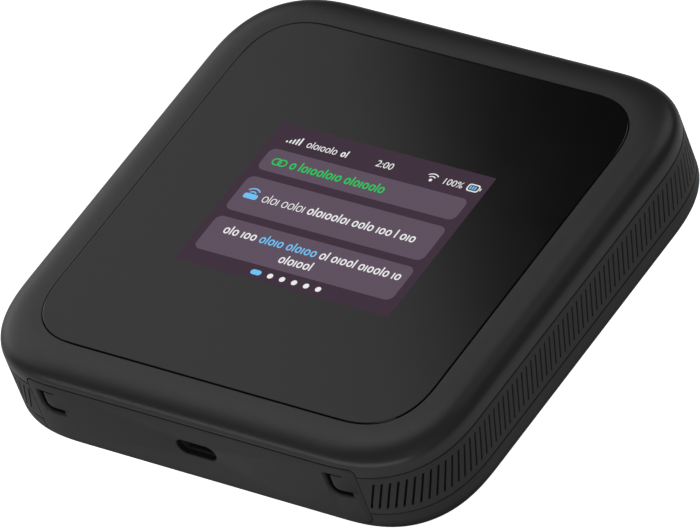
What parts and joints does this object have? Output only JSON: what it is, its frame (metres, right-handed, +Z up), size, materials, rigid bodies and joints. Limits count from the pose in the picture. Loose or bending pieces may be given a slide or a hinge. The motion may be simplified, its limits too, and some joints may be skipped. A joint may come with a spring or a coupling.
{
  "type": "mobile hotspot",
  "caption": "Square rounded mobile hotspot with a glass-topped display, ribbed side band, port panel with hinged antenna covers, power button and removable back cover.",
  "frame": {"origin": "middle of the flat base", "axes": "+Z up out of the display, -Y out of the port panel, +Y out of the power button's side, +X to the right when facing the port panel"},
  "size_m": [0.105, 0.105, 0.0215],
  "materials": {
    "bezel_plastic": "fine satin moulding texture",
    "band_plastic": "matte, ribbed",
    "panel_plastic": "smooth satin",
    "cover_plastic": "matte moulding texture",
    "port_rubber": "smooth satin elastomer",
    "button_plastic": "satin",
    "lens_glass": "gloss, printed black from behind",
    "adhesive": "matte foam",
    "frame_plastic": "matte glass-filled nylon",
    "bracket_steel": "stamped sheet",
    "usb_steel": "drawn, nickel plated",
    "contact_gold": "gold plated",
    "board_green": "solder mask",
    "chip_epoxy": "moulded epoxy",
    "shield_tin": "tin plated sheet",
    "pad_silicone": "soft silicone",
    "spreader_aluminium": "rolled sheet",
    "display_glass": "polished",
    "backlight_white": "white frame and film",
    "flex_amber": "polyimide film",
    "connector_nylon": "moulded nylon",
    "battery_foil": "printed wrap over a foil cell",
    "screw_steel": "black zinc",
    "aerial_copper": "etched copper on film"
  },
  "bodies": {
    "housing": {"front_bezel": "bezel_plastic", "display_lens": "lens_glass", "lens_adhesive": "adhesive", "ribbed_band": "band_plastic", "mid_frame": "frame_plastic", "port_panel": "panel_plastic", "cover_pin_left": "screw_steel", "cover_pin_right": "screw_steel", "antenna_jack_left": "contact_gold", "antenna_jack_right": "contact_gold", "jack_contact_left": "contact_gold", "jack_contact_right": "contact_gold", "usb_shell": "usb_steel", "usb_tongue": "connector_nylon", "main_board": "board_green", "modem_shield": "shield_tin", "wifi_shield": "shield_tin", "power_shield": "shield_tin", "modem_chip": "chip_epoxy", "wifi_chip": "chip_epoxy", "power_chip": "chip_epoxy", "sim_holder": "shield_tin", "thermal_pad": "pad_silicone", "heat_spreader": "spreader_aluminium", "display_bracket": "bracket_steel", "backlight_unit": "backlight_white", "lcd_panel": "display_glass", "display_flex": "flex_amber", "display_connector": "connector_nylon", "battery_pack": "battery_foil", "contact_block": "connector_nylon", "battery_blades": "contact_gold", "power_switch": "shield_tin", "aerial_left_front": "aerial_copper", "aerial_left_rear": "aerial_copper", "aerial_right_front": "aerial_copper", "aerial_right_rear": "aerial_copper", "housing_screws": "screw_steel", "board_screws": "screw_steel"},
    "back_cover": {"back_cover": "cover_plastic"},
    "antenna_cover_left": {"antenna_cover_left": "port_rubber"},
    "antenna_cover_right": {"antenna_cover_right": "port_rubber"},
    "power_button": {"power_button": "button_plastic", "switch_plunger": "connector_nylon"}
  },
  "joints": [
    {"name": "back_cover_release", "type": "slide", "parent": "housing", "child": "back_cover", "axis": [0, 0, -1], "range_m": [0, 0.03]},
    {"name": "antenna_cover_left_hinge", "type": "hinge", "parent": "housing", "child": "antenna_cover_left", "pos_m": [-0.0305, -0.05175, 0.01385], "axis": [0, 0, 1], "range_deg": [0, 95]},
    {"name": "antenna_cover_right_hinge", "type": "hinge", "parent": "housing", "child": "antenna_cover_right", "pos_m": [0.0365, -0.05144, 0.01385], "axis": [0, 0, 1], "range_deg": [0, 95]},
    {"name": "power_button_press", "type": "slide", "parent": "housing", "child": "power_button", "axis": [0, -1, 0], "range_m": [0, 0.00035], "stiffness_N_per_m": 1500, "springref_m": -0.0003}
  ]
}
